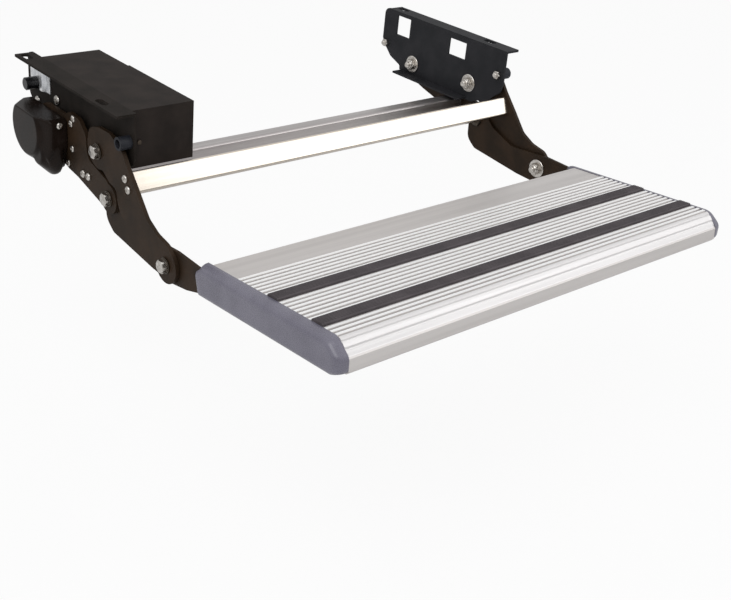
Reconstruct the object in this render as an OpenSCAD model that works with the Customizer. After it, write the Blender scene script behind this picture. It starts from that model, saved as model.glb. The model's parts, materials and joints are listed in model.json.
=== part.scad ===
// Electric pull-out step for a caravan door, with its tread swung out
// Millimetres. X runs across the step, -Y points out of the caravan, Z is up.
// The origin lies on the floor flanges' top face, midway between the side plates.

/* [Tread] */
// Width of the tread board
board_w = 550; // [450:1:650]
// Depth of the tread board
board_depth = 212; // [208:1:240]
// Thickness of the tread board
board_t = 33.5; // [30:0.5:36]
// Wall of the tread board's extrusion
board_wall = 2.2; // [1.8:0.1:2.6]
// Upward tilt of the tread board's nose
board_tilt = 5; // [3:0.5:7]
// Pitch of the tread's ribs
rib_pitch = 7.1; // [6.6:0.1:7.3]
// Height of the tread's ribs
rib_h = 1.6; // [1:0.1:2]
// Width of a grip strip
strip_w = 15.6; // [14:0.2:16.4]
// Height of a grip strip above the board
strip_proud = 3.4; // [1.5:0.1:3.6]
// Width of an end cap
cap_w = 13; // [12:0.5:16]
// Wall of an end cap
cap_wall = 3; // [2:0.1:3.2]

/* [Side plates] */
// Length of a floor flange
flange_len = 232; // [226:1:240]
// Width of a floor flange outside its side plate
flange_w = 23; // [22:0.5:30]
// Thickness of the side plates
plate_t = 3; // [2:0.1:3.4]
// Depth of the side plates below the floor
plate_depth = 84; // [82:0.5:86]
// Width of the lip along a side plate's bottom
lip_w = 16; // [10:0.5:20]
// Length of a fixing slot
slot_len = 20; // [16:0.5:24]
// Width of a fixing slot
slot_w = 9; // [7:0.1:10]
// Spacing of the fixing slots
slot_spacing = 173; // [165:0.5:180]

/* [Linkage] */
// Distance from the front pivots to the tread pivots
arm_len = 158.4; // [150:0.1:162]
// Thickness of the arms and links
arm_t = 4.5; // [3:0.1:5]
// Thickness of the couplers
coupler_t = 3.5; // [2.5:0.1:4]
// Diameter of the pivot bolts
pivot_d = 8; // [7:0.1:9]
// Hub radius of the front arms
arm_hub_r = 20; // [18:0.5:21]
// Lobe radius of the arms at the tread pivots
arm_lobe_r = 20; // [18:0.5:21]
// Hub radius of the rear links
link_hub_r = 24; // [22:0.5:27]
// Lobe radius of the links at the couplers
link_lobe_r = 17; // [15:0.5:17.5]
// Running gap beside each moving plate
side_gap = 0.5; // [0.3:0.05:0.8]
// Running gap around a pivot bolt
bore_gap = 0.05; // [0.02:0.01:0.1]

/* [Crossbars] */
// Height of the front crossbar's face
front_bar_h = 24; // [20:0.5:26]
// Depth of the front crossbar
front_bar_d = 16; // [12:0.5:18]
// Width of the rear crossbar
rear_bar_w = 22; // [18:0.5:24]
// Height of the rear crossbar
rear_bar_h = 20; // [16:0.5:22]
// Wall of the crossbars
bar_wall = 2; // [1.5:0.1:2.5]
// Diameter of the crossbar screws
bar_screw_d = 5; // [4:0.1:5.4]
// Spacing of the crossbar screws
bar_screw_spacing = 12; // [10:0.5:13]

/* [Drive] */
// Width of the cover box
cover_w = 75; // [70:1:90]
// Length of the cover box
cover_len = 202; // [195:1:210]
// Height of the cover box
cover_h = 64; // [62:1:70]
// Sheet thickness of the cover box
cover_t = 1.5; // [1:0.1:2]
// Diameter of the motor can
motor_d = 46; // [40:0.5:48]
// Length of the motor can
motor_len = 92; // [80:1:96]
// Outer radius of the gear housing
housing_r = 33; // [32:0.5:36]
// Diameter of the output shaft
shaft_d = 16; // [14:0.1:18]
// Teeth of the worm wheel
wheel_teeth = 40; // [30:1:50]
// Outer radius of the worm wheel
wheel_r = 24.6; // [24:0.2:25.6]
// Outer radius of the worm
worm_r = 7.4; // [6.5:0.1:8]
// Radius of the gear cap's drum at its base
drum_r = 46; // [44:0.5:47]
// Radius of the gear cap's drum at its face
drum_face_r = 31; // [28:0.5:34]
// Height of the gear cap above the link
drum_h = 30; // [28:0.5:34]
// Height of the gear cap's flat above its axis
drum_flat = 20; // [18:0.5:22]

/* [Stops] */
// Radius of a stop bumper
bumper_r = 7.3; // [6.8:0.1:7.4]
// Length of a stop bumper
bumper_len = 14; // [12:0.5:16]

/* [Hidden] */
$fn = 64;

// Pivots at rest, as distances along Y and Z from the origin
front_pivot = [-60, -60];
rear_pivot = [53, -66];
arm_angle = -151.33;
tread_pivot = front_pivot + arm_len * [cos(arm_angle), sin(arm_angle)];
coupler_len = 120.54;
coupler_angle = 13.92;
link_pivot = tread_pivot + coupler_len * [cos(coupler_angle), sin(coupler_angle)];

// Stack of plates from the middle outwards
bush_step = 1;
board_x = board_w / 2;
plate_x = board_x + 1.5;
plate_out = plate_x + plate_t;
coupler_x = plate_out + bush_step;
coupler_out = coupler_x + coupler_t;
arm_x = coupler_out + side_gap;
arm_out = arm_x + arm_t;
flange_x = plate_out + flange_w - plate_t;

// Fasteners
washer_t = 1.5;
washer_r = pivot_d * 1.1;
nut_washer_r = pivot_d * 1.5;
head_h = 5.6;
hex_r = pivot_d * 0.96;
nut_h = 7.5;
thread_out = 3;
low_nut_h = 4;
low_nut_r = pivot_d;
head_gap = 0.3;
pivot_r = pivot_d / 2;
bore_r = pivot_r + bore_gap;
fit = 0.05;

// Tread
board_rear = [-262, -111];
rib_land = 0.46;
strip_seat = 3;
rib_start = 43;
nose_run = 15.1;
nose_start = board_depth - nose_run;
rib_gap = 0.8;
block_ribs = 7;
first_strip = rib_start + block_ribs * rib_pitch + 0.1;
second_ribs = first_strip + strip_w + rib_gap;
second_strip = second_ribs + block_ribs * rib_pitch + 0.1;
third_ribs = second_strip + strip_w + rib_gap;
front_ribs = floor((nose_start - third_ribs) / rib_pitch);
nose_drop = 14.2;
nose_grooves = [0.35, 0.72];
cap_rear = 17.4;
cap_skirt = 2.9;
cap_top = 0.8;
pad_start = 8;
pad_end = 96;
pad_top = -7;
pad_bottom = 6 - board_t;
board_screws = [22, 52, 82];
board_screw_w = -board_t / 2;
board_screw_r = 3;
board_screw_len = 24;
board_cells = [board_wall, 42, 84, 111, 150, nose_start - 18.9];

// Side plates
flange_front = -120;
plate_rear = 121;
slot_y = 11.5;
slot_x = plate_out + flange_w / 2;
rear_window = [[66, 94], [-33, -5.5]];
drive_window = [[66, 106], [-36, -8]];
front_window = [[-47, -14], [-32, -9]];
lip_y = [-58, 76];
rear_screws = [[98.3, -54], [112, -50]];
plate_screw_r = 3;

// Stops
bumper_at = [-110.8, -33.5];
bumper_recess = 7;
bumper_head_r = 4.2;

// Crossbars
front_bar_at = [-121.8, -75.4];
front_bar_angle = 149;
rear_bar_at = [-33, -97.5];
rear_bar_angle = 86;
bar_r = 2.5;
port_wall = 1.8;
port_web = 1.6;
bar_screw_r = bar_screw_d / 2;
bar_head_r = bar_screw_d * 0.9;
bar_head_h = 3;
bar_screw_len = 18;

// Drive
cover_rear = 91;
cover_front = cover_rear - cover_len;
cover_in = plate_x - cover_w;
cover_step = 2;
cover_step_y = 24;
mesh_gap = 0.3;
worm_z = rear_pivot[1] + wheel_r + worm_r + mesh_gap;
wheel_x = plate_x - 36;
wheel_w = 12;
wheel_tooth = 2.4;
housing_wall = 4;
housing_in = wheel_x - 14;
lid_t = 3;
lid_bore_x = housing_in - lid_t - 2.5;
shaft_r = shaft_d / 2;
shaft_step = 3;
bearing_wall = 3.5;
bearing_len = 8;
spigot_r = shaft_r + bearing_wall + 3;
worm_len = 34;
worm_core = worm_r - 2;
worm_tube_r = worm_r + 1;
worm_block = worm_tube_r + 3.5;
worm_end = 4;
axle_r = 3.5;
motor_wall = 2;
motor_rear = rear_pivot[0] - housing_r - 2;
motor_front = motor_rear - motor_len;
motor_r = motor_d / 2;
magnet_t = 4;
magnet_len = 56;
armature_r = motor_r - motor_wall - magnet_t - 0.8;
armature_len = 50;
drive_z = rear_pivot[1] + drum_flat;
strap_t = 1.5;
strap_out = plate_out + strap_t;
strap_fold = 3.5;
strap_z = [-36, -9];
plug_at = [98.8, -32];
plug_r = 7.4;
plug_end = arm_out + 6;
strap_bolt = [49, -38];
cap_screw_r = 2.4;
cap_screws = [[-6, -41], [-0.6, -48.5], [-2.8, -77], [7.5, -97.5]];
cap_cone = drum_h * 0.36;
cap_side_screw = 9;
cap_side_y = 7.1;
cap_shell = 2.5;
belly_at = [32, -90];
belly_r = 27;
belly_out = 7;
cover_screw = [plate_x - 8.2, -35.4];
cover_screw_len = 3.5;
cover_screw_r = 1.6;
worm_x = wheel_x + wheel_w / 2;

// Arc of a rounded corner b between a and c with radius r
function unit(v) = v / norm(v);
function turn(a) = a > 180 ? a - 360 : a < -180 ? a + 360 : a;
function arc(m, r, a0, sweep, n) = [
    for (i = [0:n])
        let (a = a0 + sweep * i / n)
            m + r * [cos(a), sin(a)]
];
function corner(a, b, c, r) =
    r == 0 ? [b] :
    let (
        u = unit(a - b),
        v = unit(c - b),
        half = acos(u * v) / 2,
        m = b + unit(u + v) * r / sin(half),
        p = b + u * r / tan(half) - m,
        q = b + v * r / tan(half) - m,
        a0 = atan2(p[1], p[0]),
        sweep = turn(atan2(q[1], q[0]) - a0)
    )
    arc(m, r, a0, sweep, max(2, ceil(abs(sweep) / 10)));
// Outline through corners given as [y, z, radius]
function rounded(p) = [
    for (i = [0:len(p) - 1])
        let (
            a = p[(i + len(p) - 1) % len(p)],
            b = p[i],
            c = p[(i + 1) % len(p)]
        )
        each corner([a[0], a[1]], [b[0], b[1]], [c[0], c[1]], b[2])
];
// Point of the tread's own frame, u forward from its rear top edge and w up
function on_tread(u, w) = board_rear + [-u * cos(board_tilt) + w * sin(board_tilt),
    u * sin(board_tilt) + w * cos(board_tilt)];
// Centres of a bar's two screws
function bar_screws(at, angle) = [
    for (s = [-1, 1])
        at + s * bar_screw_spacing / 2 * [sin(angle), -cos(angle)]
];

// Plate of an outline in Y and Z, from x and t thick
module slab(x, t) {
    translate([x, 0, 0]) rotate([90, 0, 90]) linear_extrude(t) children();
}
// Round bar along X at a point of Y and Z
module rod(x, at, r, len) {
    translate([x, at[0], at[1]]) rotate([0, 90, 0]) cylinder(r = r, h = len);
}
// Hexagon along X at a point of Y and Z
module hex(x, at, r, len) {
    translate([x, at[0], at[1]]) rotate([0, 90, 0]) cylinder(r = r, h = len, $fn = 6);
}
// The step's +X side, or its mirror image
module side(s) {
    if (s < 0) mirror([1, 0, 0]) children();
    else children();
}
module both_sides() {
    for (s = [-1, 1]) side(s) children();
}

module plate_outline() {
    polygon(rounded([
        [flange_front, 0, 0],
        [flange_front - 1, -45, 12],
        [-118, -57, 8],
        [-107, -65, 6],
        [-96, -77, 4],
        [-78, -79, 3],
        [-70, -plate_depth, 3],
        [79, -plate_depth + 2, 3],
        [80, -75, 3],
        [101, -67, 10],
        [118, -51, 4],
        [plate_rear, -44, 3],
        [plate_rear, 0, 9]
    ]));
}
// Window between two distances along Y and two along Z
module window(w) {
    translate([w[0][0], w[1][0]]) square([w[0][1] - w[0][0], w[1][1] - w[1][0]]);
}
module slot_cut(y) {
    for (e = [-1, 1])
        translate([slot_x, y + e * (slot_len - slot_w) / 2, -plate_t - 1])
            cylinder(r = slot_w / 2, h = plate_t + 2);
    translate([slot_x - slot_w / 2, y - (slot_len - slot_w) / 2, -plate_t - 1])
        cube([slot_w, slot_len - slot_w, plate_t + 2]);
}
module bracket() {
    difference() {
        union() {
            slab(plate_x, plate_t) plate_outline();
            translate([plate_x, flange_front, -plate_t])
                cube([flange_x - plate_x, flange_len, plate_t]);
            translate([plate_x - lip_w, lip_y[0], -plate_depth + 1])
                cube([lip_w + 1, lip_y[1] - lip_y[0], plate_t - 0.5]);
        }
        for (s = [-1, 1]) slot_cut(slot_y + s * slot_spacing / 2);
        rod(plate_x - 1, front_pivot, bore_r, plate_t + 2);
        rod(plate_x - 1, bumper_at, plate_screw_r + fit, plate_t + 2);
    }
}
module bracket_right() {
    color("#2b2d33") difference() {
        bracket();
        slab(plate_x - 1, plate_t + 2) window(rear_window);
        slab(plate_x - 1, plate_t + 2) window(front_window);
        rod(plate_x - 1, rear_pivot, bore_r, plate_t + 2);
        rod(plate_x - 1, rear_screws[1], plate_screw_r + fit, plate_t + 2);
    }
}
module bracket_left() {
    color("#2b2d33") side(-1) difference() {
        bracket();
        slab(plate_x - 1, plate_t + 2) window(drive_window);
        rod(plate_x - 1, rear_pivot, spigot_r + fit, plate_t + 2);
        rod(plate_x - 1, strap_bolt, plate_screw_r + fit, plate_t + 2);
        rod(plate_x - 1, rear_screws[0], plate_screw_r + fit, plate_t + 2);
        rod(plate_x - lip_w - 1, rear_pivot, housing_r + 1, lip_w + 1);
    }
}
module stop_bumpers() {
    color("#1c1c1e") both_sides() difference() {
        rod(plate_out, bumper_at, bumper_r, bumper_len);
        rod(plate_out - 1, bumper_at, plate_screw_r + fit, bumper_len + 2);
        rod(plate_out + bumper_len - bumper_recess, bumper_at, bumper_head_r + 0.6, bumper_recess + 1);
    }
}
// Screws of the bumpers: flush inside the left plate, with a nut inside the right one
module bumper_screws() {
    seat = plate_out + bumper_len - bumper_recess;
    color("silver") {
        both_sides() {
            rod(plate_x, bumper_at, plate_screw_r, seat - plate_x);
            rod(seat, bumper_at, bumper_head_r, 3);
        }
        rod(plate_x - 8, bumper_at, plate_screw_r, 8);
        hex(plate_x - 5, bumper_at, plate_screw_r * 1.9, 5);
    }
}
// Small bolt through a side plate's rear corner
module plate_bolt(at) {
    rod(plate_x - 8, at, plate_screw_r, plate_t + 8);
    rod(plate_out, at, plate_screw_r * 1.9, 2.6);
    hex(plate_x - 5, at, plate_screw_r * 1.9, 5);
}
module plate_bolts() {
    color("silver") {
        side(-1) plate_bolt(rear_screws[0]);
        plate_bolt(rear_screws[1]);
    }
}
// Shank from a nut behind x, with a washer and a head outside the arm
module shank_and_head(x, at) {
    tail = washer_t + nut_h + thread_out;
    head_x = arm_out + head_gap;
    rod(x - tail, at, pivot_r, head_x + washer_t + head_h - x + tail);
    rod(head_x, at, washer_r, washer_t);
    hex(head_x + washer_t, at, hex_r, head_h);
}
// Bolt with a spacer between the side plate and the arm or link
module pivot_bolt(at) {
    shank_and_head(plate_x, at);
    rod(plate_out, at, pivot_r * 1.6, arm_x - head_gap - plate_out);
}
module pivot_nut(at, x) {
    difference() {
        union() {
            rod(x - washer_t, at, nut_washer_r, washer_t);
            hex(x - washer_t - nut_h, at, hex_r, nut_h);
        }
        rod(x - nut_h * 2, at, pivot_r + fit, nut_h * 3);
    }
}
module front_pivot_bolts() {
    color("silver") both_sides() pivot_bolt(front_pivot);
}
module front_pivot_nuts() {
    color("silver") both_sides() pivot_nut(front_pivot, plate_x);
}
module rear_pivot_bolt() {
    color("silver") pivot_bolt(rear_pivot);
}
module rear_pivot_nut() {
    color("silver") pivot_nut(rear_pivot, plate_x);
}

module arm_outline() {
    polygon(rounded([
        [-42, -38, 14],
        [-62, -32, 14],
        [-86, -31, 14],
        [-111, -42, 14],
        [-122, -56, 16],
        [-141.1, -76.9, 20],
        [-161.2, -99.9, 16],
        [-180, -109, 20],
        [-208, -114, 16],
        [-214, -146, 14],
        [-190, -152, 18],
        [-108, -115, 14],
        [-101, -101, 8],
        [-100, -90, 8],
        [-84, -87, 6],
        [-72, -79, 10],
        [-44, -77, 16],
        [-37, -58, 14]
    ]));
}
module arm() {
    difference() {
        union() {
            slab(arm_x, arm_t) arm_outline();
            rod(arm_x, front_pivot, arm_hub_r, arm_t);
            rod(arm_x, tread_pivot, arm_lobe_r, arm_t);
        }
        rod(arm_x - 1, front_pivot, bore_r, arm_t + 2);
        rod(arm_x - 1, tread_pivot, bore_r, arm_t + 2);
        for (at = bar_screws(front_bar_at, front_bar_angle))
            rod(arm_x - 1, at, bar_screw_r + fit, arm_t + 2);
    }
}
module arm_left() {
    color("#3a322c") side(-1) arm();
}
module arm_right() {
    color("#3a322c") arm();
}

// Corner at a distance from a point, with its radius
function near(at, y, z, r) = [at[0] + y, at[1] + z, r];
module link_outline() {
    polygon(rounded([
        [58, -42.5, 10],
        [14, -42.5, 14],
        [4, -36, 8],
        [-19, -37.5, 10],
        [-33, -50, 8],
        [-37, -76.5, 12],
        near(link_pivot, 3, 20, 10),
        near(link_pivot, -16, -1, 14),
        near(link_pivot, -6, -16.5, 12),
        [-14, -106.5, 20],
        [6, -104, 20],
        [34, -97, 14],
        [62, -88, 10]
    ]));
}
module link() {
    difference() {
        union() {
            slab(arm_x, arm_t) link_outline();
            rod(arm_x, rear_pivot, link_hub_r, arm_t);
            rod(arm_x, link_pivot, link_lobe_r, arm_t);
        }
        rod(arm_x - 1, link_pivot, bore_r, arm_t + 2);
        for (at = bar_screws(rear_bar_at, rear_bar_angle))
            rod(arm_x - 1, at, bar_screw_r + fit, arm_t + 2);
    }
}
module link_left() {
    color("#3a322c") side(-1) difference() {
        link();
        rod(arm_x - 1, rear_pivot, shaft_r + fit, arm_t + 2);
        for (at = cap_screws) rod(arm_x - 1, at, cap_screw_r + fit, arm_t + 2);
    }
}
module link_right() {
    color("#3a322c") difference() {
        link();
        rod(arm_x - 1, rear_pivot, bore_r, arm_t + 2);
    }
}

// Tube along X with two screw ports, w by h across, turned by an angle in Y and Z
module crossbar(at, angle, w, h) {
    len = arm_x * 2;
    ports = [-bar_screw_spacing / 2, bar_screw_spacing / 2];
    inside = [w - 2 * bar_wall, h - 2 * bar_wall];
    translate([-arm_x, at[0], at[1]]) rotate([90, 0, 90]) rotate(angle - 90) difference() {
        linear_extrude(len) polygon(rounded([
            [-w / 2, -h / 2, bar_r],
            [w / 2, -h / 2, bar_r],
            [w / 2, h / 2, bar_r],
            [-w / 2, h / 2, bar_r]
        ]));
        difference() {
            translate([-inside[0] / 2, -inside[1] / 2, -1]) cube([inside[0], inside[1], len + 2]);
            for (p = ports) {
                translate([p, 0, -2]) cylinder(r = bar_screw_r + port_wall, h = len + 4);
                translate([p - port_web / 2, -h / 2, -2]) cube([port_web, h, len + 4]);
            }
        }
        for (p = ports) translate([p, 0, -3]) cylinder(r = bar_screw_r + fit, h = len + 6);
    }
}
module bar_screw_pair(at, angle) {
    both_sides() for (p = bar_screws(at, angle)) {
        rod(arm_out - bar_screw_len, p, bar_screw_r, bar_screw_len);
        rod(arm_out, p, bar_head_r, bar_head_h);
    }
}
module front_crossbar() {
    color("#e8e6e2") crossbar(front_bar_at, front_bar_angle, front_bar_h, front_bar_d);
}
module rear_crossbar() {
    color("#b4b0ab") crossbar(rear_bar_at, rear_bar_angle, rear_bar_w, rear_bar_h);
}
module front_bar_screws() {
    color("silver") bar_screw_pair(front_bar_at, front_bar_angle);
}
module rear_bar_screws() {
    color("silver") bar_screw_pair(rear_bar_at, rear_bar_angle);
}

module tread_pivot_bolts() {
    color("silver") both_sides() shank_and_head(coupler_x, tread_pivot);
}
module tread_pivot_nuts() {
    color("silver") both_sides() pivot_nut(tread_pivot, coupler_x);
}
module link_end_bolts() {
    color("silver") both_sides() {
        rod(arm_x, link_pivot, pivot_r, arm_t + washer_t + head_h);
        rod(arm_out, link_pivot, washer_r, washer_t);
        hex(arm_out + washer_t, link_pivot, hex_r, head_h);
    }
}
// Studs of the couplers with low nuts inside
module link_end_nuts() {
    color("silver") both_sides() {
        hex(coupler_x - low_nut_h, link_pivot, low_nut_r, low_nut_h);
        rod(coupler_x - low_nut_h - 1, link_pivot, pivot_r, coupler_t + low_nut_h + 1);
    }
}

module coupler_outline() {
    q = [
        on_tread(pad_end + 4, pad_bottom),
        on_tread(pad_end + 4, pad_top),
        on_tread(-12, -4.6),
        on_tread(2, pad_bottom - 2)
    ];
    polygon(rounded([
        [-66, -92, 14],
        [-68.5, -136, 16],
        [-84, -147, 10],
        [-166, -155, 20],
        [-204, -156, 20],
        [-232, -151, 10],
        [q[3][0], q[3][1], 10],
        [q[0][0], q[0][1], 8],
        [q[1][0], q[1][1], 8],
        [q[2][0], q[2][1], 10],
        [-213, -116, 14],
        [-150, -122, 30],
        [-112, -108, 12],
        [-92, -91, 12]
    ]));
}
module coupler() {
    pad = [
        on_tread(pad_start, pad_bottom),
        on_tread(pad_end, pad_bottom),
        on_tread(pad_end, pad_top),
        on_tread(pad_start, pad_top)
    ];
    difference() {
        union() {
            slab(coupler_x, coupler_t) coupler_outline();
            slab(board_x + fit, coupler_x - board_x + 0.5)
                polygon(rounded([for (p = pad) [p[0], p[1], 3]]));
        }
        rod(coupler_x - 1, tread_pivot, pivot_r + fit, coupler_t + 2);
        rod(coupler_x - 1, link_pivot, pivot_r + fit, coupler_t + 2);
        for (u = board_screws) rod(board_x - 1, on_tread(u, board_screw_w), board_screw_r + fit, cap_w);
    }
}
module coupler_left() {
    color("#3a322c") side(-1) coupler();
}
module coupler_right() {
    color("#3a322c") coupler();
}
module coupler_screws() {
    head_room = board_x + cap_w - cap_wall - coupler_out;
    color("silver") both_sides() for (u = board_screws) {
        rod(coupler_out - board_screw_len, on_tread(u, board_screw_w), board_screw_r, board_screw_len);
        rod(coupler_out, on_tread(u, board_screw_w), board_screw_r * 1.5, head_room - 0.1);
    }
}

// Outline in the tread's own u and w, from x and t thick
module on_board(x, t) {
    translate([x, board_rear[0], board_rear[1]]) rotate([-board_tilt, 0, 0]) rotate([90, 0, 90])
        linear_extrude(t) mirror([1, 0]) children();
}
// Section of n ribs from u
function ribs(u, n) = [
    for (i = [0:1:n - 1]) each [
        [u + (i + 0.2) * rib_pitch, -rib_h / 2],
        [u + (i + 0.5 - rib_land / 2) * rib_pitch, rib_h / 2],
        [u + (i + 0.5 + rib_land / 2) * rib_pitch, rib_h / 2],
        [u + (i + 0.8) * rib_pitch, -rib_h / 2]
    ]
];
function strip_channel(u) = [[u, 0], [u, -strip_seat], [u + strip_w, -strip_seat], [u + strip_w, 0]];
// Height of the nose at a share of its run
function nose_w(t) = -nose_drop * pow(t, 1.6);
// Rounded nose with two grooves, then the front face
function nose() = let (run = nose_run - 2) [
    for (t = [0, 0.08, 0.16, 0.24]) [nose_start + run * t, nose_w(t)],
    for (g = nose_grooves) each [
        for (d = [-0.06, -0.02, 0.02, 0.06])
            [nose_start + run * (g + d), nose_w(g + d) - (abs(d) < 0.05 ? 1 : 0)],
        [nose_start + run * (g + 0.14), nose_w(g + 0.14)]
    ],
    [board_depth - 2, -nose_drop],
    [board_depth, -nose_drop - 2],
    [board_depth, 4.5 - board_t],
    [board_depth - 3, 1.5 - board_t],
    [board_depth - 14, -board_t]
];
module tread_board() {
    wall = board_wall;
    deck = strip_seat + wall;
    cells = board_cells;
    color("#d9d7d3") on_board(-board_x, board_w) difference() {
        polygon(concat(
            [[0, -board_t + 2], [0, -1], [1, 0], [rib_start, 0]],
            ribs(rib_start, block_ribs),
            strip_channel(first_strip),
            ribs(second_ribs, block_ribs),
            strip_channel(second_strip),
            ribs(third_ribs, front_ribs),
            nose(),
            [[2, -board_t]]
        ));
        for (i = [0:4]) difference() {
            a = cells[i] + (i == 0 ? 0 : wall / 2);
            translate([a, wall - board_t]) square([cells[i + 1] - wall / 2 - a, board_t - wall - deck]);
            for (u = board_screws) {
                translate([u, board_screw_w]) circle(r = board_screw_r + 2);
                translate([u - port_web / 2, -board_t]) square([port_web, -board_screw_w]);
            }
        }
        polygon([
            [cells[5] + wall / 2, wall - board_t],
            [board_depth - 14, wall - board_t],
            [board_depth - wall, 6 - board_t],
            [board_depth - wall, -nose_drop - 4],
            [nose_start + 2, -deck - 1],
            [cells[5] + wall / 2, -deck]
        ]);
        for (u = board_screws) translate([u, board_screw_w]) circle(r = board_screw_r + fit);
    }
}
module grip_strip(u) {
    edge = 1.2;
    end = u + strip_w;
    color("#3c393b") on_board(-board_x, board_w) polygon(concat(
        [[u + fit, -strip_seat], [u + fit, strip_proud - edge], [u + edge, strip_proud]],
        [for (i = [1:6]) let (g = u + i * strip_w / 7) each [
            [g - 0.6, strip_proud],
            [g - 0.3, strip_proud - 0.7],
            [g + 0.3, strip_proud - 0.7],
            [g + 0.6, strip_proud]
        ]],
        [[end - edge, strip_proud], [end - fit, strip_proud - edge], [end - fit, -strip_seat]]
    ));
}
module grip_strip_rear() {
    grip_strip(first_strip);
}
module grip_strip_front() {
    grip_strip(second_strip);
}
// End cap's outline, drawn in by an inset
function cap_corners(inset) = [
    [inset - 6, cap_top - inset, 4],
    [inset - cap_rear, -10, 5],
    [inset - cap_rear + 4, inset - board_t - cap_skirt, 3],
    [board_depth - 14, inset - board_t - cap_skirt, 8],
    [board_depth - inset, 4 - board_t, 8],
    [board_depth + 0.8 - inset, -nose_drop, 8],
    [nose_start - 1, cap_top - inset, 14]
];
module end_cap() {
    steps = 6;
    difference() {
        hull() for (i = [0:steps]) let (
            a = 90 * i / steps,
            x = board_x + 0.1 + (cap_w - 0.3) * sin(a)
        )
            on_board(x, 0.1) polygon(rounded(cap_corners((cap_w - 2) * (1 - cos(a)) * 0.75)));
        on_board(board_x - 1, cap_w - cap_wall + 1) polygon([
            [-cap_rear - 5, -4],
            [pad_end + 8, -4],
            [pad_end + 8, cap_wall - board_t],
            [4, cap_wall - board_t],
            [-4, -board_t - 8],
            [-cap_rear - 5, -board_t - 8]
        ]);
    }
}
module end_cap_left() {
    color("#6d6a78") side(-1) end_cap();
}
module end_cap_right() {
    color("#6d6a78") end_cap();
}

// Placed on the motor's axis, y from the origin along it
module on_motor(y) {
    translate([worm_x, y, worm_z]) rotate([-90, 0, 0]) children();
}
module cover_plan(t) {
    polygon([
        [cover_in + t, cover_front + t],
        [plate_x, cover_front + t],
        [plate_x, cover_rear],
        [cover_in + cover_step + t, cover_rear],
        [cover_in + cover_step + t, cover_step_y],
        [cover_in + t, cover_step_y]
    ]);
}
// Placed on the cover screw's axis, out from the cover's front
module on_cover(out) {
    translate([cover_screw[0], cover_front - out, cover_screw[1]]) rotate([-90, 0, 0]) children();
}
module motor_cover() {
    color("#38342f") side(-1) difference() {
        translate([0, 0, -cover_h]) linear_extrude(cover_h) cover_plan(0);
        translate([0, 0, -cover_h - 1]) linear_extrude(cover_h + 1 - cover_t) cover_plan(cover_t);
        translate([cover_in + 10, cover_rear - 1, -cover_h - 1])
            cube([cover_w, 3, cover_h - cover_t + 1]);
        on_cover(1) cylinder(r = cover_screw_r + fit, h = 4);
    }
}
module gear_housing() {
    color("#8d8f92") side(-1) difference() {
        union() {
            rod(housing_in, rear_pivot, housing_r, plate_x - housing_in);
            rod(plate_x - 1, rear_pivot, spigot_r, plate_t + 1);
            translate([worm_x - worm_block, rear_pivot[0] - housing_r - 2, worm_z - worm_block])
                cube([worm_block * 2, housing_r * 2 + 4, worm_block * 2]);
        }
        rod(plate_x - 7, strap_bolt, plate_screw_r + fit, 8);
        rod(housing_in - 1, rear_pivot, housing_r - housing_wall, plate_x - housing_in - 12);
        rod(housing_in - 1, rear_pivot, shaft_r + bearing_wall + fit, plate_out - housing_in + 2);
        on_motor(rear_pivot[0] - housing_r - 5) cylinder(r = worm_tube_r, h = housing_r * 2);
        on_motor(rear_pivot[0]) cylinder(r = axle_r + fit, h = housing_r + worm_end);
    }
}
module gear_lid() {
    color("#8d8f92") side(-1) difference() {
        union() {
            rod(housing_in - lid_t, rear_pivot, housing_r, lid_t);
            rod(housing_in - lid_t - 5, rear_pivot, spigot_r, 6);
        }
        rod(lid_bore_x, rear_pivot, shaft_r + bearing_wall + fit, lid_t + 4);
    }
}
module shaft_bearings() {
    color("#b08d57") side(-1) for (x = [lid_bore_x, plate_out - bearing_len]) difference() {
        rod(x, rear_pivot, shaft_r + bearing_wall, bearing_len);
        rod(x - 1, rear_pivot, shaft_r + bore_gap, bearing_len + 2);
    }
}
module output_shaft() {
    start = lid_bore_x + 0.1;
    color("silver") side(-1) {
        rod(start, rear_pivot, shaft_r, arm_out + shaft_step - start);
        rod(arm_out + shaft_step, rear_pivot, shaft_r - 2, 9);
    }
}
module shaft_nut() {
    color("silver") side(-1) difference() {
        union() {
            rod(arm_out, rear_pivot, shaft_r + 6, 2);
            hex(arm_out + 2, rear_pivot, shaft_r + 4, 8);
        }
        rod(arm_out - 1, rear_pivot, shaft_r + fit, shaft_step + 1.05);
        rod(arm_out + 2, rear_pivot, shaft_r - 2 + fit, 9);
    }
}
module worm_wheel() {
    root = wheel_r - wheel_tooth;
    flank = [0.06, 0.32, 0.68, 0.94];
    color("#b08d57") side(-1) difference() {
        slab(wheel_x, wheel_w) translate(rear_pivot) polygon([
            for (i = [0:wheel_teeth - 1], k = [0:3])
                let (a = (i + flank[k]) * 360 / wheel_teeth, r = k == 0 || k == 3 ? root : wheel_r)
                    [r * cos(a), r * sin(a)]
        ]);
        rod(wheel_x - 1, rear_pivot, shaft_r + fit, wheel_w + 2);
    }
}
module worm_shaft() {
    axle_y = motor_front + 6;
    worm_y = rear_pivot[0] - worm_len / 2;
    pitch = (worm_len - 6) / 7.6;
    color("silver") side(-1) {
        on_motor(axle_y) cylinder(r = axle_r, h = rear_pivot[0] + housing_r + worm_end - 1 - axle_y);
        on_motor(worm_y) cylinder(r = worm_core, h = worm_len);
        for (i = [0:7]) on_motor(worm_y + 2 + i * pitch) rotate_extrude() polygon([
            [worm_core - 0.5, -0.9],
            [worm_r, 0.3],
            [worm_r, 1.1],
            [worm_core - 0.5, 2.3]
        ]);
    }
}
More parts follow.
